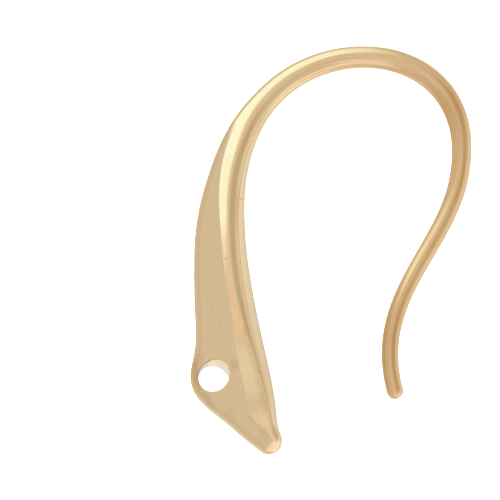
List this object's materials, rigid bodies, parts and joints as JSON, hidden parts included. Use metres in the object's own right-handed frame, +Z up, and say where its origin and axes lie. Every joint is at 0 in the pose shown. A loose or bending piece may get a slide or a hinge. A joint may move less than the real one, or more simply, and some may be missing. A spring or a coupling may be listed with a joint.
{
  "type": "ear wire",
  "caption": "Cast ear wire: a round wire hook that swells into a keeled leaf-shaped front with a drilled hole for a drop.",
  "frame": {"origin": "centre of the base of the piece's box, on the surface that it lies on", "axes": "+Z up from that surface; +Y from the toe towards the top of the loop; +X from the front towards the tail"},
  "size_m": [0.0134, 0.0198, 0.0032],
  "materials": {
    "gold_plate": "polished, pale gold plate on cast brass"
  },
  "bodies": {
    "root": {"ear_wire": "gold_plate"}
  },
  "joints": []
}
